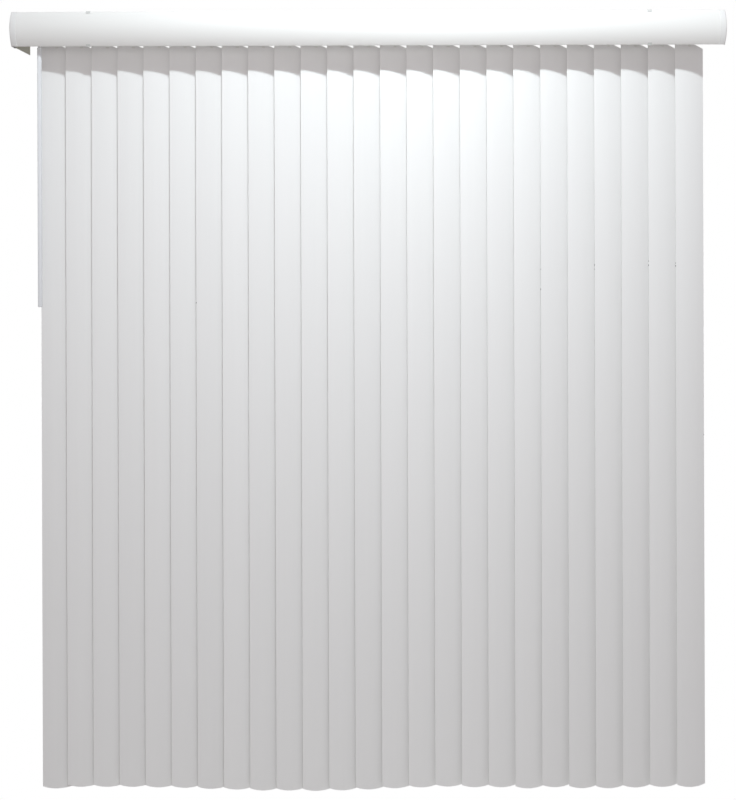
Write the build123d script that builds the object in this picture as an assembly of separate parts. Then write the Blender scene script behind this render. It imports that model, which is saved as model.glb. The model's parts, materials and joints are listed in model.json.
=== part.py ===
from build123d import *
import math
import os

# A vertical blind that hangs from a headrail on wall brackets, behind a bowed valance.
# X runs to the right along the headrail, Y runs back to the wall and Z runs up.
# The origin is the centre of the wall screw holes, on the wall. Lengths are in millimetres.

# Row of vanes: the links are slack, so the pitch grows to the right and the lead vane stands close
vane_pitch = 76.1
stack_pitch = 19.0
row_offset = 12.0
row_slack = 11.4
lead_slack = 3.0
rail_end_room = 60.0
axis_to_wall = 58.0
closed_tilt = 13.0

# Vane
vane_width = 89.0
vane_length = 2143.0
vane_thickness = 0.8
vane_crown = 4.5
vane_clip_width = 40.0
vane_clip_height = 14.0
vane_foot_radius = 165.0
vane_foot_offset = 10.0
vane_foot_steps = 4
vane_cover = 19.0
slot_width = 9.0
slot_height = 5.0
slot_drop = 7.5

# Hanger that carries a vane
stem_radius = 2.6
stem_flats = 3.8
stem_depth = 6.0
stem_shoulder = 2.0
blade_width = 12.0
blade_top_width = 7.0
blade_rise = 14.0
blade_length = 17.0
blade_thickness = 1.4
blade_gap = 0.15
peg_height = 2.4
peg_side_clearance = 0.3
lip_thickness = 1.1
lip_rise = 2.2

# Headrail
headrail_length = 1968.0
headrail_depth = 40.0
headrail_height = 36.0
headrail_wall = 1.4
flange_thickness = 1.6
flange_overhang = 2.0
rail_slot_width = 16.0
rail_lip_height = 2.5
rail_lip_thickness = 1.2

# Headrail end caps
cap_plate_thickness = 3.0
cap_plug_length = 9.0
cap_plug_height = 19.0

# Carriers
carrier_gap = 1.0
carrier_depth = 32.0
carrier_waist_depth = 26.0
carrier_upper_height = 14.0
roller_radius = 5.0
roller_thickness = 4.0
roller_sides = 8
bore_sides = 6
snout_drop = 9.0

# Spacer strips between carriers
strip_length = 84.0
strip_height = 5.0
strip_thickness = 0.6
strip_lanes = 5
strip_lane_pitch = 1.4
strip_first_lane = 12.0
strip_foot = 0.5

# Tilt rod
rod_radius = 3.0
rod_sides = 6
rod_offset = 10.2
rod_height = 6.5
rod_journal_radius = 2.5
rod_end_gap = 0.5
rod_bore_clearance = 0.5

# Wall brackets and their spring clips
bracket_places_share = (-1.0, 0.0, 1.0)
bracket_inset = 284.0
bracket_width = 30.0
bracket_thickness = 2.0
bracket_leg = 55.0
bracket_arm = 76.0
bracket_bend_radius = 2.0
screw_hole_radius = 2.5
screw_hole_spacing = 25.0
screw_hole_inset = 15.0
spring_clip_width = 24.0
spring_clip_thickness = 1.0
spring_clip_grip = 1.6

# Valance
valance_overhang = 21.5
valance_offset = -2.0
valance_height = 96.5
valance_rise = 7.0
valance_reach = 64.0
valance_bow = 15.0
valance_thickness = 2.0

# Valance corner pieces and the return at the left
corner_band = 17.0
corner_wall = 1.3
corner_end_wall = 2.0
corner_bevel = 4.0
corner_wing = 24.0
corner_tail = 10.0
corner_lip_height = 7.0
corner_lip_thickness = 1.5
return_thickness = 2.0
return_wall_gap = 3.0
return_lean = 9.0
return_front_gap = 0.6

# Valance clips
clip_places_share = (-1.0, 1.0)
clip_inset = 194.0
clip_width = 12.0
clip_leg = 1.5
clip_finger = 1.2
clip_finger_reach = 4.5
clip_arm_thickness = 1.5
clip_seat = 6.0

# Wand and its hook on the lead carrier
wand_forward = 36.5
wand_left = 38.6
wand_radius = 6.6
wand_sides = 6
wand_length = 750.0
wand_tip_chamfer = 2.0
wand_arm_width = 14.0
wand_arm_rail_gap = 0.6
hook_shaft_radius = 2.5
hook_head_radius = 4.5
hook_head_height = 3.0
hook_eye_radius = 4.5
hook_eye_thickness = 4.0
hook_eye_sides = 8
hook_shank = 3.0
hook_drop = 29.5
wand_pin_radius = 1.6
wand_cheek_thickness = 2.0
wand_cheek_gap = 0.4
wand_neck = 7.5
wand_neck_gap = 1.0

# Clearances shared by all pieces
running_clearance = 0.06
slide_clearance = 0.3
seat_gap = 0.1
loose_clearance = 0.6
overrun = 5.0

# Places along the rail that follow from its length
vane_count = int((headrail_length - 2 * rail_end_room) / vane_pitch) + 1
first_x = row_offset - vane_pitch * (vane_count - 1) / 2
lead_x = first_x + lead_slack
wand_x = lead_x - wand_left
valance_end = headrail_length / 2 + valance_overhang
bracket_reach_x = headrail_length / 2 - bracket_inset
clip_reach_x = headrail_length / 2 - clip_inset

# Heights and depths that follow from the values above
bracket_top = screw_hole_spacing / 2 + screw_hole_inset
headrail_top = bracket_top - bracket_thickness - spring_clip_thickness
headrail_bottom = headrail_top - headrail_height
ledge = headrail_bottom + headrail_wall
valance_top = headrail_top + valance_rise
valance_bottom = valance_top - valance_height
vane_top = valance_bottom + vane_cover
axis_y = -axis_to_wall
roller_z = ledge + slide_clearance + roller_radius
shoulder = roller_z + roller_radius + loose_clearance
carrier_top = shoulder + carrier_upper_height
waist_bottom = ledge + rail_lip_height + loose_clearance
snout_bottom = headrail_bottom - snout_drop
carrier_width = stack_pitch - carrier_gap
rod_y = axis_y + rod_offset
rod_z = shoulder + rod_height
stem_bore_top = shoulder + stem_depth
wand_y = axis_y - wand_forward
wand_pivot = snout_bottom - hook_drop

# Bow of the valance: one circle's centre, outer radius and inner radius
valance_edge_y = axis_y - valance_reach
bow_outer = ((valance_height / 2) ** 2 + valance_bow ** 2) / (2 * valance_bow)
bow_inner = bow_outer - valance_thickness
bow_y = valance_edge_y - valance_bow + bow_outer
bow_z = (valance_top + valance_bottom) / 2
inner_bevel = corner_bevel - corner_wall


def slab(low_u, high_u, low_v, high_v):
    """A rectangle between two limits each way."""
    middle = Pos((low_u + high_u) / 2, (low_v + high_v) / 2)
    return middle * Rectangle(high_u - low_u, high_v - low_v)


def along_x(section, low_x, high_x):
    """A section drawn in Y and Z, run from one X to another."""
    return extrude(Plane.YZ.offset(low_x) * section, amount=high_x - low_x)


def along_z(section, low_z, high_z):
    """A section drawn in X and Y, run from one Z to another."""
    return extrude(Plane.XY.offset(low_z) * section, amount=high_z - low_z)


def across_y(section, low_y, high_y):
    """A section drawn in X and Z, run from one Y to another."""
    return extrude(Plane.XZ.offset(-high_y) * section, amount=high_y - low_y)


def bow_band(radius_in, radius_out, low_z, high_z):
    """The front stretch of a ring round the valance's centre, between two heights."""
    ring = Pos(bow_y, bow_z) * (Circle(radius_out) - Circle(radius_in))
    return ring & slab(bow_y - radius_out - overrun, bow_y, low_z, high_z)


def save(name, *solids):
    """Writes a node, as one solid or as a group of separate solids."""
    shape = solids[0] if len(solids) == 1 else Compound(children=list(solids))
    export_step(shape, f"parts/{name}.step")


def stem_x(number):
    """Where a vane's stem stands along the rail."""
    if number == 1:
        return lead_x
    share = (number - 1) / (vane_count - 1)
    return first_x + vane_pitch * (number - 1) - 4 * row_slack * share * (1 - share)


# Vane: a bowed strip with a curved foot, one clipped shoulder and a slot, drawn square to the wall
def vane_panel():
    radius = ((vane_width / 2) ** 2 + vane_crown ** 2) / (2 * vane_crown)
    half = vane_thickness / 2
    ring = Pos(0, radius) * (Circle(radius + half) - Circle(radius - half))
    edge = vane_width / 2 + overrun
    bow = ring & slab(-edge, edge, -half, vane_crown + overrun)
    vane_bottom = vane_top - vane_length
    strip = along_z(bow, vane_bottom, vane_top)
    side = vane_width / 2
    points = [
        (side, vane_top - vane_clip_height),
        (side - vane_clip_width, vane_top),
        (-side, vane_top),
    ]
    for step in range(vane_foot_steps + 1):
        across = vane_width * step / vane_foot_steps - side
        lift = vane_foot_radius - math.sqrt(vane_foot_radius ** 2 - (across - vane_foot_offset) ** 2)
        points.append((across, vane_bottom + lift))
    outline = make_face(Polyline(*points, close=True))
    slot = Pos(0, vane_top - slot_drop) * Rectangle(slot_width, slot_height)
    depth = vane_crown + overrun
    return strip & across_y(outline - slot, -depth, depth)


# Hanger: a stem that turns in its carrier, over a blade with a hook through the vane's slot
def vane_hanger():
    blade_low = vane_top - blade_length
    blade_high = vane_top + blade_rise
    stem = Rectangle(stem_flats, stem_flats) & Circle(stem_radius)
    stem = along_z(stem, vane_top + stem_shoulder, stem_bore_top - slide_clearance)
    outline = make_face(
        Polyline(
            (-blade_width / 2, blade_low),
            (blade_width / 2, blade_low),
            (blade_width / 2, vane_top),
            (blade_top_width / 2, blade_high),
            (-blade_top_width / 2, blade_high),
            (-blade_width / 2, vane_top),
            close=True,
        )
    )
    blade_front = vane_thickness / 2 + blade_gap
    blade = across_y(outline, blade_front, blade_front + blade_thickness)
    peg_top = vane_top - slot_drop + slot_height / 2
    peg_low = peg_top - peg_height
    hook = slab(-blade_front, blade_front, peg_low, peg_top)
    hook += slab(-blade_front - lip_thickness, -blade_front, peg_low, peg_top + lip_rise)
    half = slot_width / 2 - peg_side_clearance
    return stem + blade + along_x(hook, -half, half)


# Headrail: an extruded channel with a slotted floor, roller lips and a flanged top
def headrail():
    half = headrail_depth / 2
    inner = half - headrail_wall
    section = slab(-half, half, headrail_bottom, headrail_top)
    section += slab(
        -half - flange_overhang, half + flange_overhang, headrail_top - flange_thickness, headrail_top
    )
    section -= slab(-inner, inner, ledge, headrail_top - flange_thickness)
    slot = rail_slot_width / 2
    section -= slab(-slot, slot, headrail_bottom - overrun, ledge + overrun)
    for low in (slot, -slot - rail_lip_thickness):
        section += slab(low, low + rail_lip_thickness, headrail_bottom, ledge + rail_lip_height)
    half_length = headrail_length / 2
    return along_x(Pos(axis_y, 0) * section, -half_length, half_length)


# End cap: a plate with a plug that fits the channel and bears the tilt rod
def headrail_end_cap():
    half = headrail_depth / 2 + flange_overhang
    middle_z = (headrail_top + headrail_bottom) / 2
    plate = Rectangle(2 * half, headrail_height)
    end_x = headrail_length / 2
    cap = along_x(Pos(axis_y, middle_z) * plate, end_x, end_x + cap_plate_thickness)
    inner = headrail_depth / 2 - headrail_wall - seat_gap
    plug_top = headrail_top - flange_thickness - seat_gap
    plug = slab(-inner, inner, plug_top - cap_plug_height, plug_top)
    cap += along_x(Pos(axis_y, 0) * plug, end_x - cap_plug_length, end_x)
    bore = Pos(rod_y, rod_z) * Circle(rod_journal_radius + running_clearance)
    return cap - along_x(bore, end_x - cap_plug_length - overrun, end_x)


# Tilt rod: a six-sided rod with plain journals at both ends
def tilt_rod():
    journal_end = headrail_length / 2 - rod_end_gap
    bar_end = headrail_length / 2 - cap_plug_length - rod_end_gap
    section = RegularPolygon(rod_radius, rod_sides)
    rod = along_x(Pos(rod_y, rod_z) * section, -bar_end, bar_end)
    journal = Pos(rod_y, rod_z) * Circle(rod_journal_radius)
    rod += along_x(journal, bar_end, journal_end)
    rod += along_x(journal, -journal_end, -bar_end)
    return rod


# Carrier: a housing on two rollers, with a snout through the rail's slot that holds a stem
def carrier_body():
    half = carrier_width / 2
    rear = carrier_depth / 2
    waist = carrier_waist_depth / 2
    section = slab(-rear, rear, shoulder, carrier_top)
    section += slab(-waist, waist, waist_bottom, shoulder)
    snout = rail_slot_width / 2 - loose_clearance
    section += slab(-snout, snout, snout_bottom, waist_bottom)
    rod_room = rod_radius + rod_bore_clearance
    section -= Pos(rod_offset, rod_z) * RegularPolygon(rod_room, rod_sides, major_radius=False)
    body = along_x(section, -half, half)
    roller = Pos(0, roller_z) * RegularPolygon(roller_radius, roller_sides)
    for side in (waist, -waist - roller_thickness):
        body += across_y(roller, side, side + roller_thickness)
    return body


# Bore for a hanger's stem, from under the snout up into the housing
def stem_bore():
    section = RegularPolygon(stem_radius + running_clearance, bore_sides, major_radius=False)
    return along_z(section, snout_bottom - overrun, stem_bore_top)


# Spacer strip: stands on edge in one of five lanes, over the carriers on its left
def spacer_strip(index):
    low_y = strip_lane_pitch * (index % strip_lanes) - strip_first_lane
    low_z = carrier_top + slide_clearance
    half = carrier_width / 2
    strip = slab(-strip_length, half, low_z, low_z + strip_height)
    strip += slab(-half, half, carrier_top - strip_foot, low_z)
    return across_y(strip, low_y, low_y + strip_thickness)


# Arm of the lead carrier, which reaches forward and left to the wand
def wand_arm():
    span = math.hypot(wand_left, wand_forward)
    turn = math.degrees(math.atan2(-wand_forward, -wand_left))
    bar = Rot(0, 0, turn) * Pos(span / 2, 0) * SlotCenterToCenter(span, wand_arm_width)
    bar -= Pos(-wand_left, -wand_forward) * Circle(hook_shaft_radius + running_clearance)
    return along_z(bar, snout_bottom, headrail_bottom - wand_arm_rail_gap)


# Wand hook: a headed shaft in the arm, with an eye below for the wand's pin
def wand_hook():
    arm_top = headrail_bottom - wand_arm_rail_gap
    head_low = arm_top + slide_clearance
    shaft_low = wand_pivot + hook_eye_radius + loose_clearance
    shaft = along_z(Circle(hook_shaft_radius), shaft_low, head_low)
    head = RegularPolygon(hook_head_radius, wand_sides)
    head = along_z(head, head_low, head_low + hook_head_height)
    half = hook_eye_thickness / 2
    plate = Pos(0, wand_pivot) * RegularPolygon(hook_eye_radius, hook_eye_sides)
    plate += slab(-hook_shaft_radius, hook_shaft_radius, wand_pivot, shaft_low + hook_shank)
    eye = along_x(plate, -half, half)
    hole = Pos(0, wand_pivot) * Circle(wand_pin_radius + running_clearance)
    hook = head + shaft + eye - along_x(hole, -hook_eye_radius, hook_eye_radius)
    return Pos(wand_x, wand_y, 0) * hook


# Wand: a six-sided rod with a bevelled tip, forked at the top round the hook's eye
def wand():
    neck_low = wand_pivot - hook_eye_radius - wand_neck_gap
    body_top = neck_low - wand_neck
    body_low = wand_pivot - wand_length
    rod = along_z(RegularPolygon(wand_radius, wand_sides), body_low, body_top)
    rod = chamfer(rod.edges().group_by(Axis.Z)[0], wand_tip_chamfer)
    cheek_in = hook_eye_thickness / 2 + wand_cheek_gap
    cheek_out = cheek_in + wand_cheek_thickness
    rod += along_z(RegularPolygon(cheek_out, wand_sides), body_top, neck_low)
    cheek = Pos(0, wand_pivot) * RegularPolygon(hook_eye_radius, hook_eye_sides)
    cheek += slab(-hook_eye_radius, hook_eye_radius, neck_low - wand_neck / 2, wand_pivot)
    for low in (cheek_in, -cheek_out):
        rod += along_x(cheek, low, low + wand_cheek_thickness)
    pin = Pos(0, wand_pivot) * Circle(wand_pin_radius)
    return Pos(wand_x, wand_y, 0) * (rod + along_x(pin, -cheek_out, cheek_out))


# Wall bracket: a bent strip with two screw holes in its leg
def wall_bracket():
    arm_low = bracket_top - bracket_thickness
    strip = slab(-bracket_thickness, 0, bracket_top - bracket_leg, bracket_top)
    strip += slab(-bracket_arm, 0, arm_low, bracket_top)
    outer = strip.vertices().sort_by_distance((0, bracket_top, 0))[0]
    strip = fillet(outer, bracket_bend_radius + bracket_thickness)
    half = bracket_width / 2
    bracket = along_x(strip, -half, half)
    for height in (screw_hole_spacing / 2, -screw_hole_spacing / 2):
        hole = Pos(0, height) * Circle(screw_hole_radius)
        bracket -= across_y(hole, -bracket_thickness - overrun, overrun)
    return bracket


# Spring clip: a strip on the rail's top whose ends hook under its two flanges
def spring_clip():
    edge = headrail_depth / 2 + flange_overhang + seat_gap
    outer = edge + spring_clip_thickness
    low = headrail_top - flange_thickness - seat_gap - spring_clip_thickness
    section = slab(-outer, outer, headrail_top, headrail_top + spring_clip_thickness)
    section += slab(edge, outer, low, headrail_top)
    section += slab(-outer, -edge, low, headrail_top)
    section += slab(edge - spring_clip_grip, edge, low, low + spring_clip_thickness)
    section += slab(-edge, spring_clip_grip - edge, low, low + spring_clip_thickness)
    half = spring_clip_width / 2
    return along_x(Pos(axis_y, 0) * section, -half, half)


# Valance: one bowed strip between the two corner pieces
def valance_front():
    half = valance_end - corner_end_wall - inner_bevel - seat_gap
    return along_x(bow_band(bow_inner, bow_outer, valance_bottom, valance_top), -half, half)


def bevelled_bow(radius, low_x, high_x, back_y, margin, bevel):
    """The solid front of the bow out to a radius, with its left end bevelled."""
    section = Pos(bow_y, bow_z) * Circle(radius)
    section &= slab(bow_y - radius - overrun, back_y, valance_bottom - margin, valance_top + margin)
    solid = along_x(section, low_x, high_x)
    bowed = solid.faces().sort_by(Axis.X)[0].edges().filter_by(GeomType.CIRCLE)
    return chamfer(bowed, bevel)


# Corner piece: a bowed band over the valance's end that turns into an end wall, drawn for the left
def valance_corner(tail):
    outside = -valance_end
    band_in = bow_outer + seat_gap
    band_end = outside + corner_band
    back_y = valance_edge_y + tail
    corner = bevelled_bow(band_in + corner_wall, outside, band_end, back_y, 0, corner_bevel)
    inside = outside + corner_end_wall
    return corner - bevelled_bow(
        band_in, inside, band_end + overrun, back_y + overrun, overrun, inner_bevel
    )


# Channel for the return, at the top and bottom of the left corner piece
def return_channel():
    inside = corner_end_wall - valance_end
    lip_in = inside + return_thickness + seat_gap
    lip_out = lip_in + corner_lip_thickness
    front_y = valance_edge_y + corner_bevel + return_front_gap
    wing_y = valance_edge_y + corner_wing
    channel = []
    for sign, edge in ((1, valance_top), (-1, valance_bottom)):
        low, high = sorted((edge, edge - sign * corner_end_wall))
        channel.append(along_x(slab(front_y, wing_y, low, high), inside, lip_out))
        low, high = sorted((edge, edge - sign * corner_lip_height))
        channel.append(along_x(slab(front_y, wing_y, low, high), lip_in, lip_out))
    return channel


# Return: a strip in the left corner's channel that leans in on its way back to the wall
def valance_return():
    outside = corner_end_wall - valance_end
    low = valance_bottom + corner_end_wall + seat_gap
    high = valance_top - corner_end_wall - seat_gap
    inside = outside + return_thickness
    front_y = valance_edge_y + corner_bevel + return_front_gap
    wing_y = valance_edge_y + corner_wing
    section = Polyline(
        (outside, front_y),
        (outside, wing_y),
        (outside + return_lean, -return_wall_gap),
        (inside + return_lean, -return_wall_gap),
        (inside, wing_y),
        (inside, front_y),
        close=True,
    )
    return along_z(make_face(section), low, high)


# Valance clip: a leg behind the valance, fingers over both its edges, and an arm on the rail
def valance_clip():
    finger_in = bow_outer + seat_gap
    finger_out = finger_in + clip_finger
    low = valance_bottom - seat_gap
    high = valance_top + seat_gap
    edge_drop = valance_height / 2
    leg_front = bow_y - math.sqrt(bow_inner ** 2 - edge_drop ** 2) + seat_gap
    leg_back = leg_front + clip_leg
    edge_front = bow_y - math.sqrt(finger_out ** 2 - (edge_drop + seat_gap) ** 2)
    section = slab(leg_front, leg_back, low - clip_finger, high + clip_finger)
    section += slab(edge_front, leg_back, high, high + clip_finger)
    section += slab(edge_front, leg_back, low - clip_finger, low)
    section += bow_band(finger_in, finger_out, high - clip_finger_reach, high)
    section += bow_band(finger_in, finger_out, low, low + clip_finger_reach)
    rail_edge = axis_y - headrail_depth / 2 - flange_overhang
    arm_top = headrail_top + clip_arm_thickness
    section += slab(leg_front, rail_edge + clip_seat, headrail_top, arm_top)
    grip_y = rail_edge - seat_gap
    grip_low = headrail_top - flange_thickness - seat_gap - clip_arm_thickness
    section += slab(grip_y - clip_arm_thickness, grip_y, grip_low, headrail_top)
    grip_end = rail_edge + flange_overhang - slide_clearance
    section += slab(grip_y, grip_end, grip_low, grip_low + clip_arm_thickness)
    half = clip_width / 2
    return along_x(section, -half, half)


def spread(solid, reach, shares):
    """Copies of a solid along the rail, at shares of a reach either side of its middle."""
    return [Pos(reach * share, 0, 0) * solid for share in shares]


os.makedirs("parts", exist_ok=True)

save("headrail", headrail())
cap = headrail_end_cap()
save("headrail_end_caps", mirror(cap, about=Plane.YZ), cap)
brackets = spread(wall_bracket(), bracket_reach_x, bracket_places_share)
springs = spread(spring_clip(), bracket_reach_x, bracket_places_share)
save("mounting_brackets", *brackets, *springs)
set_over = Pos(valance_offset, 0, 0)
save("valance_front", set_over * valance_front())
left_corner = valance_corner(corner_wing)
for piece in return_channel():
    left_corner += piece
right_corner = mirror(valance_corner(corner_tail), about=Plane.YZ)
save("valance_corners", set_over * left_corner, set_over * right_corner)
save("valance_return", set_over * valance_return())
save("valance_clips", *spread(valance_clip(), clip_reach_x, clip_places_share))
save("tilt_rod", tilt_rod())
save("wand_hook", wand_hook())
save("wand", wand())

turn = Rot(0, 0, closed_tilt)
panel = turn * vane_panel()
hanger = turn * vane_hanger()
body = carrier_body()
bore = stem_bore()
lead_body = body + wand_arm() - bore
for number in range(1, vane_count + 1):
    place = Pos(stem_x(number), axis_y, 0)
    save(f"vane_{number:02d}", place * panel, place * hanger)
    if number == 1:
        save("lead_carrier", place * lead_body)
    else:
        name = "end_carrier" if number == vane_count else f"carrier_{number:02d}"
        save(name, place * (body - bore + spacer_strip(number)))
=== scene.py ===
import bpy
import json
import math
import random
from mathutils import Euler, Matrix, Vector


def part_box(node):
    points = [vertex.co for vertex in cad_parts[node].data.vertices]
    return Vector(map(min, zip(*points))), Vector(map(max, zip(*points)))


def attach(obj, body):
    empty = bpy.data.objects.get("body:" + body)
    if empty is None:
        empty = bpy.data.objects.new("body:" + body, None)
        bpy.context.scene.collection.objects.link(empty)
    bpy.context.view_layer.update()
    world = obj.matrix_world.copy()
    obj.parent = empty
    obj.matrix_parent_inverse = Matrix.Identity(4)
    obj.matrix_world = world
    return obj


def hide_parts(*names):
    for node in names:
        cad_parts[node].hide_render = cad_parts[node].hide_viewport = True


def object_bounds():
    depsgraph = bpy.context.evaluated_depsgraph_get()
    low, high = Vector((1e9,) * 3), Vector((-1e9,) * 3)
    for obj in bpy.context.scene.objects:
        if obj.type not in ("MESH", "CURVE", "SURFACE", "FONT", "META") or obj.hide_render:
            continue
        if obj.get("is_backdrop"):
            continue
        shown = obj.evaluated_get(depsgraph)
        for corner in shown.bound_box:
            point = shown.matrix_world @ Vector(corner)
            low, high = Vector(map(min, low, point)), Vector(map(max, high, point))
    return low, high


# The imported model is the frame: every piece below takes its place and size from it.
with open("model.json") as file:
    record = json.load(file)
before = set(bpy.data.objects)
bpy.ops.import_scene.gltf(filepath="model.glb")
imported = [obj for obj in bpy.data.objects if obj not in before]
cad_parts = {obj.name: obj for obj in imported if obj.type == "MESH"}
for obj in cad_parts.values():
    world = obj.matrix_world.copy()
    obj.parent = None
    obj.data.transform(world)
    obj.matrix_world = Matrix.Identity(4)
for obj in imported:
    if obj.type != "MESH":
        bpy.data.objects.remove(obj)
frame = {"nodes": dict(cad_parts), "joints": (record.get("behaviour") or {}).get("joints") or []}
cad_low, cad_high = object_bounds()
nodes = frame["nodes"]

# Headrail
# A channel of thin aluminium, roll-formed and painted white, that the wall brackets grip by its top flanges.
# The paint is smooth satin with a faint orange peel.


def grain_group():
    """Cloudy shade and a fine height, for paint and moulded plastic."""
    group = bpy.data.node_groups.new("Surface grain", "ShaderNodeTree")
    face = group.interface
    for name in ("Cloud Scale", "Cloud Amount", "Grain Scale"):
        face.new_socket(name, in_out="INPUT", socket_type="NodeSocketFloat")
    face.new_socket("Stretch", in_out="INPUT", socket_type="NodeSocketVector")
    for name in ("Shade", "Height"):
        face.new_socket(name, in_out="OUTPUT", socket_type="NodeSocketFloat")
    tree, link = group.nodes, group.links.new
    given = tree.new("NodeGroupInput")
    put = tree.new("NodeGroupOutput")
    place = tree.new("ShaderNodeTexCoord")
    stretch = tree.new("ShaderNodeVectorMath")
    stretch.operation = "MULTIPLY"
    link(place.outputs["Object"], stretch.inputs[0])
    link(given.outputs["Stretch"], stretch.inputs[1])
    cloud = tree.new("ShaderNodeTexNoise")
    cloud.inputs["Detail"].default_value = 4.0
    link(stretch.outputs[0], cloud.inputs["Vector"])
    link(given.outputs["Cloud Scale"], cloud.inputs["Scale"])
    swing = tree.new("ShaderNodeMath")
    swing.operation = "SUBTRACT"
    swing.inputs[1].default_value = 0.5
    link(cloud.outputs["Fac"], swing.inputs[0])
    shade = tree.new("ShaderNodeMath")
    shade.operation = "MULTIPLY_ADD"
    shade.inputs[2].default_value = 1.0
    link(swing.outputs[0], shade.inputs[0])
    link(given.outputs["Cloud Amount"], shade.inputs[1])
    link(shade.outputs[0], put.inputs["Shade"])
    grain = tree.new("ShaderNodeTexNoise")
    grain.inputs["Detail"].default_value = 2.0
    link(stretch.outputs[0], grain.inputs["Vector"])
    link(given.outputs["Grain Scale"], grain.inputs["Scale"])
    link(grain.outputs["Fac"], put.inputs["Height"])
    return group


surface_grain = grain_group()


def finish(name, colour, roughness, cloud, grain, metallic=0.0, stretch=(1, 1, 1)):
    """A material of one colour with clouds of shade, a fine bump and uneven gloss.

    Cloud gives the clouds' scale and amount, and grain the bump's scale and height in metres.
    """
    material = bpy.data.materials.new(name)
    material.use_nodes = True
    tree, link = material.node_tree.nodes, material.node_tree.links.new
    surface = tree["Principled BSDF"]
    surface.inputs["Metallic"].default_value = metallic
    effect = tree.new("ShaderNodeGroup")
    effect.node_tree = surface_grain
    effect.inputs["Cloud Scale"].default_value = cloud[0]
    effect.inputs["Cloud Amount"].default_value = cloud[1]
    effect.inputs["Grain Scale"].default_value = grain[0]
    effect.inputs["Stretch"].default_value = stretch
    tint = tree.new("ShaderNodeVectorMath")
    tint.name = "Tint"
    tint.operation = "SCALE"
    tint.inputs[0].default_value = colour
    link(effect.outputs["Shade"], tint.inputs["Scale"])
    link(tint.outputs[0], surface.inputs["Base Color"])
    gloss = tree.new("ShaderNodeMath")
    gloss.operation = "MULTIPLY"
    gloss.inputs[1].default_value = roughness
    link(effect.outputs["Shade"], gloss.inputs[0])
    link(gloss.outputs[0], surface.inputs["Roughness"])
    bump = tree.new("ShaderNodeBump")
    bump.inputs["Distance"].default_value = grain[1]
    link(effect.outputs["Height"], bump.inputs["Height"])
    link(bump.outputs["Normal"], surface.inputs["Normal"])
    return material


def dress(node, material):
    """Gives a carried-over node its finish."""
    slots = nodes[node].data.materials
    slots.clear()
    slots.append(material)


white_paint = finish("White paint", (0.84, 0.84, 0.82), 0.38, cloud=(6.0, 0.03), grain=(350.0, 0.00006))
dress("headrail", white_paint)

# Headrail end caps
# Two white injection-moulded caps, pushed into the ends of the headrail, that bear the tilt rod.
white_moulding = finish(
    "White moulding", (0.82, 0.82, 0.80), 0.46, cloud=(30.0, 0.05), grain=(1200.0, 0.00005)
)
dress("headrail_end_caps", white_moulding)

# Wall brackets
# Three strips of zinc-plated steel, bent to an angle and screwed to the wall, each with a spring clip that
# snaps round the headrail's flanges. The zinc has a faint spangle.
zinc_plate = finish(
    "Zinc plate", (0.60, 0.61, 0.62), 0.40, cloud=(120.0, 0.30), grain=(700.0, 0.00003), metallic=1.0
)
dress("mounting_brackets", zinc_plate)

# Carriers
# Moulded acetal carriers that roll along the headrail, one for each vane, with spacer strips between them.
carrier_moulding = finish(
    "Carrier moulding", (0.70, 0.70, 0.67), 0.42, cloud=(60.0, 0.06), grain=(1500.0, 0.00004)
)
for name in nodes:
    if "carrier" in name:
        dress(name, carrier_moulding)

# Tilt rod
# A drawn six-sided aluminium rod that runs through every carrier and turns the vanes. Drawing leaves fine
# lines along it.
drawn_metal = finish(
    "Drawn metal", (0.72, 0.73, 0.74), 0.32, cloud=(500.0, 0.25), grain=(900.0, 0.00003), metallic=1.0,
    stretch=(0.02, 1, 1),
)
dress("tilt_rod", drawn_metal)

# Vanes
# Bowed strips of white extruded vinyl, each hooked on a hanger by a punched slot. They overlap, with the bow
# to the room. Extrusion leaves faint lines along them, and handling leaves specks on their edges.
joints = {joint["name"]: joint for joint in frame["joints"]}
rail_axis_y = joints["vane_tilt"]["pos_m"][1]
vane_names = sorted(name for name in nodes if name.startswith("vane_"))
vane_width = 0.089
vane_crown = 0.0045
vane_thickness = 0.0008
vane_tilt = math.radians(13.0)
vane_top = -0.046
vane_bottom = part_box(vane_names[0])[0].z
vane_bow_radius = ((vane_width / 2) ** 2 + vane_crown ** 2) / (2 * vane_crown)
vane_steps = 28
shoulder_clip = (0.040, 0.014)
foot_radius = 0.165
foot_offset = 0.010
foot_steps = 14
slot_size = (0.009, 0.005)
slot_drop = 0.0075
vane_smoothing = 30.0


def vane_axis(name):
    """Where a vane's stem stands along the rail."""
    low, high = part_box(name)
    return (low.x + high.x) / 2


def start_alone():
    """Leaves nothing selected and no mesh open, before a new piece is added."""
    if bpy.context.object and bpy.context.object.mode != "OBJECT":
        bpy.ops.object.mode_set(mode="OBJECT")
    bpy.ops.object.select_all(action="DESELECT")


def pick(test, kind="VERT"):
    """Selects the open mesh's points, edges or faces whose middle passes a test."""
    piece = bpy.context.object
    bpy.ops.mesh.select_all(action="DESELECT")
    bpy.ops.mesh.select_mode(type=kind)
    bpy.ops.object.mode_set(mode="OBJECT")
    points = piece.data.vertices
    if kind == "FACE":
        for face in piece.data.polygons:
            face.select = bool(test(face.center, face.normal))
    elif kind == "EDGE":
        for edge in piece.data.edges:
            ends = [points[i].co for i in edge.vertices]
            edge.select = bool(test((ends[0] + ends[1]) / 2, ends[1] - ends[0]))
    else:
        for point in points:
            point.select = bool(test(point.co, point.normal))
    bpy.ops.object.mode_set(mode="EDIT")


def slice_mesh(point, normal, clear=True):
    """Cuts the open mesh by a plane and, where asked, takes away what lies on the normal's side."""
    bpy.ops.mesh.select_all(action="SELECT")
    bpy.ops.mesh.bisect(plane_co=point, plane_no=normal, clear_outer=clear)


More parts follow.
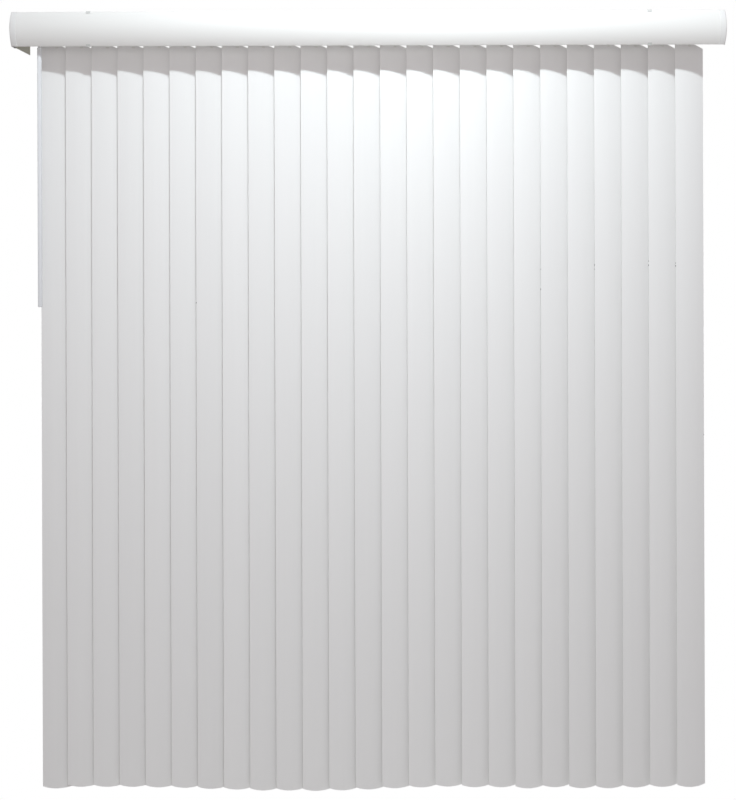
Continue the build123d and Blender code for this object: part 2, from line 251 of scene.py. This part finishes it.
def settle(piece, material, angle=40.0):
    """Applies a finished piece's place, smooths it by angle and gives it its material."""
    start_alone()
    piece.select_set(True)
    bpy.context.view_layer.objects.active = piece
    bpy.ops.object.transform_apply(location=True, rotation=True, scale=True)
    bpy.ops.object.shade_smooth_by_angle(angle=math.radians(angle))
    piece.data.materials.clear()
    piece.data.materials.append(material)


def vane_strip():
    """One bowed strip, square to the wall, with its stem's axis on the Z axis."""
    start_alone()
    height = vane_top - vane_bottom
    bpy.ops.mesh.primitive_plane_add(size=height, rotation=(math.pi / 2, 0, 0))
    strip = bpy.context.object
    bpy.ops.object.transform_apply(rotation=True)
    bpy.ops.object.mode_set(mode="EDIT")
    pick(lambda point, normal: point.x > 0)
    bpy.ops.mesh.delete(type="VERT")
    bpy.ops.mesh.select_all(action="SELECT")
    half_turn = math.asin(vane_width / 2 / vane_bow_radius)
    lift = (vane_top + vane_bottom) / 2
    shift = height / 2 - vane_bow_radius * math.sin(half_turn)
    bpy.ops.transform.translate(value=(shift, vane_crown, lift))
    bpy.ops.mesh.spin(steps=vane_steps, angle=2 * half_turn, center=(0, vane_bow_radius, 0), axis=(0, 0, -1))
    across, rise = shoulder_clip
    slice_mesh((vane_width / 2, 0, vane_top - rise), (rise, 0, across))
    for step in range(foot_steps + 1):
        along = vane_width * step / foot_steps - vane_width / 2 - foot_offset
        fall = math.sqrt(foot_radius ** 2 - along ** 2)
        slice_mesh((along + foot_offset, 0, vane_bottom + foot_radius - fall), (along, 0, -fall))
    slot_middle = vane_top - slot_drop
    for side in (-1, 1):
        slice_mesh((side * slot_size[0] / 2, 0, 0), (1, 0, 0), clear=False)
        slice_mesh((0, 0, slot_middle + side * slot_size[1] / 2), (0, 0, 1), clear=False)

    def in_slot(point, normal):
        return abs(point.x) < slot_size[0] / 2 and abs(point.z - slot_middle) < slot_size[1] / 2

    pick(in_slot, "FACE")
    bpy.ops.mesh.delete(type="FACE")
    bpy.ops.mesh.select_all(action="SELECT")
    bpy.ops.mesh.normals_make_consistent(inside=False)
    bpy.ops.object.mode_set(mode="OBJECT")
    wall = strip.modifiers.new("Thickness", "SOLIDIFY")
    wall.thickness = vane_thickness
    wall.offset = 0.0
    bpy.ops.object.modifier_apply(modifier=wall.name)
    strip.rotation_euler = (0, 0, vane_tilt)
    return strip


white_vinyl = finish(
    "White vinyl", (0.83, 0.83, 0.82), 0.42, cloud=(90.0, 0.02), grain=(260.0, 0.00003), stretch=(1, 1, 0.02)
)


def add_vane_tones(material):
    """Lets each vane be a shade lighter or darker than the next."""
    tree, link = material.node_tree.nodes, material.node_tree.links.new
    tone = tree.new("ShaderNodeAttribute")
    tone.attribute_name = "tone"
    blend = tree.new("ShaderNodeVectorMath")
    blend.operation = "SCALE"
    link(tree["Tint"].outputs[0], blend.inputs[0])
    link(tone.outputs["Fac"], blend.inputs["Scale"])
    link(blend.outputs[0], tree["Principled BSDF"].inputs["Base Color"])


add_vane_tones(white_vinyl)
random.seed(25)
tone_swing = 0.012
millimetre = 0.001
# How much lower each vane's foot hangs than in the model, in millimetres, from the lead vane on.
vane_drops = (
    -1.3, -5.8, -5.4, -5.2, -3.4, -1.9, 1.4, 3.6, 6.5, 6.8, 8.2, 6.8, 4.5,
    1.2, -1.0, -3.2, -1.0, -0.7, 2.9, -0.4, 2.6, 3.2, 1.1, -0.3, 0.3,
)
first_strip = vane_strip()
settle(first_strip, white_vinyl, vane_smoothing)
for name, drop in zip(vane_names, vane_drops):
    strip = first_strip.copy()
    strip.data = first_strip.data.copy()
    strip.name = name + "_strip"
    bpy.context.collection.objects.link(strip)
    stretch = 1 + drop * millimetre / (vane_top - vane_bottom)
    strip.scale = (1, 1, stretch)
    strip.location = (vane_axis(name), rail_axis_y, vane_top * (1 - stretch))
    tone = strip.data.attributes.new("tone", "FLOAT", "POINT")
    shade = 1 + random.uniform(-tone_swing, tone_swing)
    tone.data.foreach_set("value", [shade] * len(strip.data.vertices))
    settle(strip, white_vinyl, vane_smoothing)
    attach(strip, name)
    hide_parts(name)
bpy.data.objects.remove(first_strip)

edge_dirt = finish("Edge dirt", (0.09, 0.09, 0.085), 0.8, cloud=(900.0, 0.4), grain=(2500.0, 0.00006))
dirt_size = (0.0011, 0.0005)
# Each speck's vane, that vane's left (-1) or right (1) edge, and the speck's level and length in metres.
dirt_specks = (
    ("vane_07", -1, -0.790, 0.0050), ("vane_20", -1, -0.697, 0.0034), ("vane_20", -1, -0.754, 0.0048),
    ("vane_22", -1, -0.685, 0.0056), ("vane_22", -1, -0.697, 0.0034), ("vane_24", -1, -0.674, 0.0030),
    ("vane_24", -1, -0.686, 0.0056), ("vane_25", -1, -0.680, 0.0034), ("vane_25", -1, -0.688, 0.0060),
    ("vane_25", 1, -1.177, 0.0060),
)
for number, (name, side, level, length) in enumerate(dirt_specks, 1):
    start_alone()
    bend = side * vane_width / 2 / vane_bow_radius
    place = Vector((vane_bow_radius * math.sin(bend), vane_bow_radius * (1 - math.cos(bend)), level))
    place.rotate(Euler((0, 0, vane_tilt)))
    place += Vector((vane_axis(name), rail_axis_y, 0))
    bpy.ops.mesh.primitive_uv_sphere_add(
        segments=16, ring_count=10, radius=1, location=place, rotation=(0, 0, vane_tilt + bend),
        scale=(*dirt_size, length / 2),
    )
    speck = bpy.context.object
    speck.name = f"edge_speck_{number:02d}"
    settle(speck, edge_dirt)
    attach(speck, name)

# Vane hangers
# A moulded hook for each vane: a stem that turns in its carrier, a flat blade behind the vane, and a lip
# through the vane's slot.
stem_radius = 0.0026
stem_top = 0.0065
stem_low = vane_top + 0.002
blade_size = (0.012, 0.0014)
blade_neck = 0.007
blade_low = vane_top - 0.017
blade_high = vane_top + 0.014
blade_gap = 0.00015
blade_front = vane_thickness / 2 + blade_gap
peg_size = (0.0084, 0.0024)
lip_size = (0.0011, 0.0046)
lip_taper = (0.8, 0.6)
hanger_edge = 0.0002


def block(low, high):
    """A box between two corners, left open for shaping."""
    start_alone()
    middle = [(a + b) / 2 for a, b in zip(low, high)]
    bpy.ops.mesh.primitive_cube_add(size=1, location=middle, scale=[b - a for a, b in zip(low, high)])
    bpy.ops.object.transform_apply(location=True, rotation=True, scale=True)
    bpy.ops.object.mode_set(mode="EDIT")
    return bpy.context.object


def joined(pieces, edge):
    """Several solids as one piece, with its sharp edges rounded off."""
    start_alone()
    for piece in pieces:
        piece.select_set(True)
    bpy.context.view_layer.objects.active = pieces[0]
    bpy.ops.object.join()
    whole = bpy.context.object
    bevel = whole.modifiers.new("Edges", "BEVEL")
    bevel.width = edge
    bevel.segments = 2
    bevel.limit_method = "ANGLE"
    bpy.ops.object.modifier_apply(modifier=bevel.name)
    return whole


def looks_up(point, normal):
    """True for a face at the top of a block."""
    return normal.z > 0.5


def vane_hanger():
    """One hanger, with its stem on the Z axis."""
    blade_back = blade_front + blade_size[1]
    blade = block((-blade_size[0] / 2, blade_front, blade_low), (blade_size[0] / 2, blade_back, vane_top))
    pick(looks_up, "FACE")
    bpy.ops.mesh.extrude_region_move(TRANSFORM_OT_translate={"value": (0, 0, blade_high - vane_top)})
    bpy.ops.transform.resize(value=(blade_neck / blade_size[0], 1, 1))
    peg_top = vane_top - slot_drop + slot_size[1] / 2
    peg_low = peg_top - peg_size[1]
    peg_half = peg_size[0] / 2
    peg = block((-peg_half, -blade_front, peg_low), (peg_half, blade_back, peg_top))
    lip_front = -blade_front - lip_size[0]
    lip = block((-peg_half, lip_front, peg_low), (peg_half, -blade_front, peg_low + lip_size[1]))
    pick(looks_up, "FACE")
    bpy.ops.transform.resize(value=(*lip_taper, 1))
    start_alone()
    bpy.ops.mesh.primitive_cylinder_add(
        vertices=16, radius=stem_radius, depth=stem_top - stem_low, location=(0, 0, (stem_top + stem_low) / 2)
    )
    stem = bpy.context.object
    bpy.ops.object.transform_apply(location=True)
    hanger = joined([blade, peg, lip, stem], hanger_edge)
    hanger.rotation_euler = (0, 0, vane_tilt)
    return hanger


hanger_moulding = finish(
    "Hanger moulding", (0.78, 0.78, 0.75), 0.40, cloud=(80.0, 0.05), grain=(1500.0, 0.00004)
)
first_hanger = vane_hanger()
settle(first_hanger, hanger_moulding)
for name in vane_names:
    hanger = first_hanger.copy()
    hanger.data = first_hanger.data.copy()
    hanger.name = name + "_hanger"
    bpy.context.collection.objects.link(hanger)
    hanger.location = (vane_axis(name), rail_axis_y, 0)
    settle(hanger, hanger_moulding)
    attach(hanger, name)
    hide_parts(name)
bpy.data.objects.remove(first_hanger)

# Valance
# One bowed strip of the same white vinyl, extruded in a long length and cut to the width of the blind.
front_low, front_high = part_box("valance_front")
valance_thickness = 0.002
valance_bow = 0.015
valance_half_height = (front_high.z - front_low.z) / 2
bow_radius = (valance_half_height ** 2 + valance_bow ** 2) / (2 * valance_bow)
bow_z = (front_high.z + front_low.z) / 2
bow_y = front_low.y + bow_radius
bow_steps = 48
valance_edge = 0.0005
sharp_edge = math.radians(50)


def bowed_sheet(radius):
    """A sheet as wide and high as the valance that follows its bow at a radius."""
    start_alone()
    length = front_high.x - front_low.x
    bpy.ops.mesh.primitive_plane_add(size=length, location=((front_low.x + front_high.x) / 2, 0, 0))
    bpy.ops.object.transform_apply(location=True)
    bpy.ops.object.mode_set(mode="EDIT")
    pick(lambda point, normal: point.y > 0)
    bpy.ops.mesh.delete(type="VERT")
    bpy.ops.mesh.select_all(action="SELECT")
    top = math.asin((front_high.z - bow_z) / radius)
    bottom = math.asin((front_low.z - bow_z) / radius)
    start_y = bow_y - radius * math.cos(top)
    bpy.ops.transform.translate(value=(0, start_y + length / 2, front_high.z))
    bpy.ops.mesh.spin(steps=bow_steps, angle=top - bottom, center=(0, bow_y, bow_z), axis=(-1, 0, 0))
    bpy.ops.mesh.select_all(action="SELECT")
    bpy.ops.mesh.normals_make_consistent(inside=False)
    bpy.ops.object.mode_set(mode="OBJECT")
    return bpy.context.object


def thicken(piece, thickness, offset, edge):
    """Gives a sheet its wall, and rounds the wall's edges off."""
    wall = piece.modifiers.new("Thickness", "SOLIDIFY")
    wall.thickness = thickness
    wall.offset = offset
    bpy.ops.object.modifier_apply(modifier=wall.name)
    bevel = piece.modifiers.new("Edges", "BEVEL")
    bevel.width = edge
    bevel.segments = 3
    bevel.limit_method = "ANGLE"
    bevel.angle_limit = sharp_edge
    bpy.ops.object.modifier_apply(modifier=bevel.name)


valance_vinyl = finish(
    "Valance vinyl", (0.83, 0.83, 0.81), 0.40, cloud=(60.0, 0.02), grain=(260.0, 0.00003),
    stretch=(0.02, 1, 1),
)
valance = bowed_sheet(bow_radius - valance_thickness / 2)
valance.name = "valance_strip"
thicken(valance, valance_thickness, 0.0, valance_edge)
settle(valance, valance_vinyl)
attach(valance, "frame")
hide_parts("valance_front")

# Valance corner pieces
# A white moulded piece at each end: a band over the end of the valance that rounds into an end wall. The
# left one has a channel at its top and bottom for the return.
corner_low, corner_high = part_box("valance_corners")
corner_band = 0.017
corner_gap = 0.0001
corner_wall = 0.0013
corner_round = 0.0045
corner_steps = 6
corner_facets = 256
corner_edge = 0.0003
valance_edge_y = bow_y - math.sqrt(bow_radius ** 2 - valance_half_height ** 2)
left_tail = corner_high.y - valance_edge_y
right_tail = 0.010
channel_floor = 0.0020
channel_lip = (0.0041, 0.0056)
channel_lip_height = 0.007
channel_start = 0.0046
channel_front = valance_edge_y + channel_start
square_on = 0.99
hair = 0.00005


def corner_piece(outside, inward, tail):
    """A bowed band that rounds into an end wall at one end of the valance."""
    start_alone()
    radius = bow_radius + corner_gap + corner_wall
    back_y = valance_edge_y + tail
    bpy.ops.mesh.primitive_circle_add(
        vertices=corner_facets, radius=radius, fill_type="NGON", location=(outside, bow_y, bow_z),
        rotation=(0, math.pi / 2, 0),
    )
    corner = bpy.context.object
    bpy.ops.object.transform_apply(location=True, rotation=True)
    bpy.ops.object.mode_set(mode="EDIT")
    slice_mesh((0, back_y, 0), (0, 1, 0))
    slice_mesh((0, 0, corner_high.z), (0, 0, 1))
    slice_mesh((0, 0, corner_low.z), (0, 0, -1))
    bpy.ops.mesh.select_all(action="SELECT")
    bpy.ops.mesh.extrude_region_move(TRANSFORM_OT_translate={"value": (inward * corner_band, 0, 0)})
    bpy.ops.mesh.select_all(action="SELECT")
    bpy.ops.mesh.normals_make_consistent(inside=False)

    def on_rim(point, run):
        level = corner_low.z + hair < point.z < corner_high.z - hair
        return abs(point.x - outside) < hair and level and point.y < back_y - hair

    def open_side(point, normal):
        return max(normal.x * inward, normal.y, abs(normal.z)) > square_on

    pick(on_rim, "EDGE")
    bpy.ops.mesh.bevel(offset=corner_round, segments=corner_steps)
    pick(open_side, "FACE")
    bpy.ops.mesh.delete(type="FACE")
    bpy.ops.object.mode_set(mode="OBJECT")
    thicken(corner, corner_wall, -1.0, corner_edge)
    return corner


left_pieces = [corner_piece(corner_low.x, 1, left_tail)]
for sign, level in ((1, corner_high.z), (-1, corner_low.z)):
    for start, height in ((channel_floor - corner_wall, channel_floor), (channel_lip[0], channel_lip_height)):
        low_z, high_z = sorted((level, level - sign * height))
        low = (corner_low.x + start, channel_front, low_z)
        high = (corner_low.x + channel_lip[1], corner_high.y, high_z)
        left_pieces.append(block(low, high))
left_corner = joined(left_pieces, corner_edge)
left_corner.name = "left_corner"
right_corner = corner_piece(corner_high.x, -1, right_tail)
right_corner.name = "right_corner"
# The corner moulding is a shade darker than the white moulding of the end caps. This is painted shade for the
# darker bands at the valance's ends.
shaded_corner_moulding = finish(
    "Corner moulding", (0.77, 0.77, 0.76), 0.46, cloud=(30.0, 0.05), grain=(1200.0, 0.00005)
)
for corner in (left_corner, right_corner):
    settle(corner, shaded_corner_moulding)
    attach(corner, "frame")
    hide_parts("valance_corners")

# Valance return
# A flat strip of vinyl in the left corner piece's channel, that closes the end back to the wall.
return_vinyl = finish(
    "Return vinyl", (0.83, 0.83, 0.81), 0.40, cloud=(60.0, 0.02), grain=(260.0, 0.00003), stretch=(1, 0.02, 1)
)


def paint_inner_shade(material):
    """Paints shade on the face that looks inward: a dark olive grey in place of the shadow that falls there
    between the return, the headrail and the wall.
    """
    tree, link = material.node_tree.nodes, material.node_tree.links.new
    place = tree.new("ShaderNodeTexCoord")
    parts = tree.new("ShaderNodeSeparateXYZ")
    link(place.outputs["Normal"], parts.inputs[0])
    inward = tree.new("ShaderNodeMath")
    inward.operation = "GREATER_THAN"
    inward.inputs[1].default_value = 0.5
    link(parts.outputs["X"], inward.inputs[0])
    # Painted shade: the inward face takes a dark olive grey instead of the vinyl's white.
    inner_shade = tree.new("ShaderNodeMix")
    inner_shade.data_type = "RGBA"
    inner_shade.inputs["B"].default_value = (0.30, 0.29, 0.22, 1)
    link(inward.outputs[0], inner_shade.inputs["Factor"])
    link(tree["Tint"].outputs[0], inner_shade.inputs["A"])
    link(inner_shade.outputs["Result"], tree["Principled BSDF"].inputs["Base Color"])


# The return's inner face is painted dark, as painted shade rather than the vinyl's own colour.
paint_inner_shade(return_vinyl)
dress("valance_return", return_vinyl)

# Valance clips
# Milky moulded clips, whose fingers hold the valance by its top and bottom edges and whose arms grip the
# headrail.
milky_moulding = finish(
    "Milky moulding", (0.62, 0.63, 0.61), 0.30, cloud=(90.0, 0.06), grain=(1500.0, 0.00003)
)
dress("valance_clips", milky_moulding)

# Wand hook
# A moulded shaft that turns in the lead carrier's arm, with an eye for the wand's pin.
dress("wand_hook", white_moulding)

# Wand
# A hanging six-sided rod of milky plastic, turned to tilt the vanes and pulled to draw them. It is forked at
# the top round the hook's eye, on a pin.
wand_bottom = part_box("wand")[0].z
wand_x, wand_y, wand_pivot = joints["wand_swing"]["pos_m"]
wand_radius = 0.0066
fork_depth = 0.0055
neck_length = 0.0075
wand_neck_top = wand_pivot - fork_depth
wand_body_top = wand_neck_top - neck_length
wand_edge = 0.0009
wand_tip_round = 0.002
neck_overlap = 0.001
cheek_overlap = 0.004
cheek_in, cheek_out = 0.0024, 0.0044
cheek_half = 0.0045
pin_radius = 0.0016


def bar(radius, sides, low, high, along="Z", turn=0.0):
    """A straight rod with flat sides, between two ends."""
    start_alone()
    axis_turn = (0, math.pi / 2, 0) if along == "X" else (0, 0, turn)
    middle = [(a + b) / 2 for a, b in zip(low, high)]
    length = (Vector(high) - Vector(low)).length
    bpy.ops.mesh.primitive_cylinder_add(
        vertices=sides, radius=radius, depth=length, location=middle, rotation=axis_turn
    )
    bpy.ops.object.transform_apply(location=True, rotation=True)
    return bpy.context.object


def wand_rod():
    """The wand's rod with its bevelled tip, and the neck and fork above it."""

    def upright(radius, low_z, high_z):
        return bar(radius, 6, (wand_x, wand_y, low_z), (wand_x, wand_y, high_z), turn=math.pi / 6)

    def crosswise(radius, low, high):
        return bar(radius, 24, (wand_x + low, wand_y, wand_pivot), (wand_x + high, wand_y, wand_pivot), "X")

    rod = upright(wand_radius, wand_bottom, wand_body_top)
    bpy.ops.object.mode_set(mode="EDIT")
    pick(lambda point, run: abs(point.z - wand_bottom) < hair, "EDGE")
    bpy.ops.mesh.bevel(offset=wand_tip_round, segments=3)
    pieces = [rod, upright(cheek_out, wand_body_top - neck_overlap, wand_neck_top)]
    for low, high in ((cheek_in, cheek_out), (-cheek_out, -cheek_in)):
        near = (wand_x + low, wand_y - cheek_half, wand_neck_top - cheek_overlap)
        far = (wand_x + high, wand_y + cheek_half, wand_pivot)
        pieces += [block(near, far), crosswise(cheek_half, low, high)]
    pieces.append(crosswise(pin_radius, -cheek_out, cheek_out))
    return joined(pieces, wand_edge)


wand_plastic = finish("Wand plastic", (0.80, 0.82, 0.84), 0.26, cloud=(25.0, 0.04), grain=(500.0, 0.00002))
wand = wand_rod()
wand.name = "wand_rod"
settle(wand, wand_plastic)
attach(wand, "wand")
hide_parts("wand")

# Stage
# A pale floor below the blind and a soft surround. The camera and clear reflections see both as plain white.
floor_drop = 0.35
floor_size = 12.0
floor_colour = (0.75, 0.74, 0.725, 1)
floor_roughness = 0.9
surround_colour = (1.0, 0.95, 0.972, 1)
surround_front = 0.395
surround_back = 0.55


def show_white(tree, link, lit, white, output):
    """Puts plain white in place of a lit shader where it is seen, also in a reflection or through plastic."""
    path = tree.new("ShaderNodeLightPath")
    seen = path.outputs["Is Camera Ray"]
    for ray in ("Is Glossy Ray", "Is Transmission Ray"):
        either = tree.new("ShaderNodeMath")
        either.operation = "MAXIMUM"
        link(seen, either.inputs[0])
        link(path.outputs[ray], either.inputs[1])
        seen = either.outputs[0]
    white.inputs["Color"].default_value = (1, 1, 1, 1)
    choice = tree.new("ShaderNodeMixShader")
    link(seen, choice.inputs[0])
    link(lit.outputs[0], choice.inputs[1])
    link(white.outputs[0], choice.inputs[2])
    link(choice.outputs[0], output.inputs["Surface"])


start_alone()
bpy.ops.mesh.primitive_plane_add(size=floor_size, location=(0, 0, cad_low[2] - floor_drop))
floor = bpy.context.object
floor.name = "floor"
floor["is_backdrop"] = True
floor_white = bpy.data.materials.new("Floor white")
floor_white.use_nodes = True
tree, link = floor_white.node_tree.nodes, floor_white.node_tree.links.new
matt = tree["Principled BSDF"]
matt.inputs["Base Color"].default_value = floor_colour
matt.inputs["Roughness"].default_value = floor_roughness
show_white(tree, link, matt, tree.new("ShaderNodeEmission"), tree["Material Output"])
floor.data.materials.append(floor_white)

surround = bpy.data.worlds.new("Surround")
bpy.context.scene.world = surround
surround.use_nodes = True
tree, link = surround.node_tree.nodes, surround.node_tree.links.new
room = tree["Background"]
room.inputs["Color"].default_value = surround_colour
way = tree.new("ShaderNodeTexCoord")
parts = tree.new("ShaderNodeSeparateXYZ")
link(way.outputs["Generated"], parts.inputs[0])
depth = tree.new("ShaderNodeMapRange")
depth.inputs["From Min"].default_value = -1
depth.inputs["From Max"].default_value = 1
depth.inputs["To Min"].default_value = surround_front
depth.inputs["To Max"].default_value = surround_back
link(parts.outputs["Y"], depth.inputs["Value"])
link(depth.outputs["Result"], room.inputs["Strength"])
show_white(tree, link, room, tree.new("ShaderNodeBackground"), tree["World Output"])

# Key light
# One lamp in front of the blind and above it, near the middle of its width.
key_place = Vector((0.20, -2.30, 2.11))
key_aim = Vector((0.20, rail_axis_y, -0.05))
key_beam = math.radians(80)


def disk_lamp(name, place, aim, size, energy, colour):
    """A round lamp at a place, turned to what it lights."""
    light = bpy.data.lights.new(name, "AREA")
    light.shape = "DISK"
    light.size = size
    light.energy = energy
    light.color = colour
    lamp = bpy.data.objects.new(name, light)
    lamp.location = place
    lamp.rotation_euler = (aim - place).to_track_quat("-Z", "Y").to_euler()
    bpy.context.collection.objects.link(lamp)
    return lamp


key = disk_lamp("Key", key_place, key_aim, size=0.22, energy=19.6, colour=(0.885, 0.965, 1.0))
key.data.spread = key_beam

# Fill light
# A broad soft lamp at the camera, for the light of the key that the room throws back. It leaves no
# reflections.
fill_place = Vector((0.10, -2.60, -0.30))
fill_aim = fill_place + Vector((0, 1, 0))
fill = disk_lamp("Fill", fill_place, fill_aim, size=1.2, energy=11.0, colour=(1.0, 0.957, 0.965))
fill.visible_glossy = False

# Camera
# Level and square to the wall, at the photograph's distance and height, with the picture shifted down.
picture_height = 800
focal_pixels = 972
eye_level_pixel = 274.8
camera_distance = 2.8
camera_height = -0.711
camera_side = -0.0046
camera_roll = math.radians(0.18)
camera = bpy.data.cameras.new("Camera")
camera.sensor_width = 36.0
camera.lens = camera.sensor_width * focal_pixels / picture_height
camera.shift_y = (eye_level_pixel - picture_height / 2) / picture_height
camera.clip_end = 50
eye = bpy.data.objects.new("Camera", camera)
eye.location = (camera_side, rail_axis_y - camera_distance, camera_height)
eye.rotation_euler = (math.pi / 2, camera_roll, 0)
bpy.context.collection.objects.link(eye)
bpy.context.scene.camera = eye
bpy.context.scene.view_settings.view_transform = "Standard"

low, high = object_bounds()
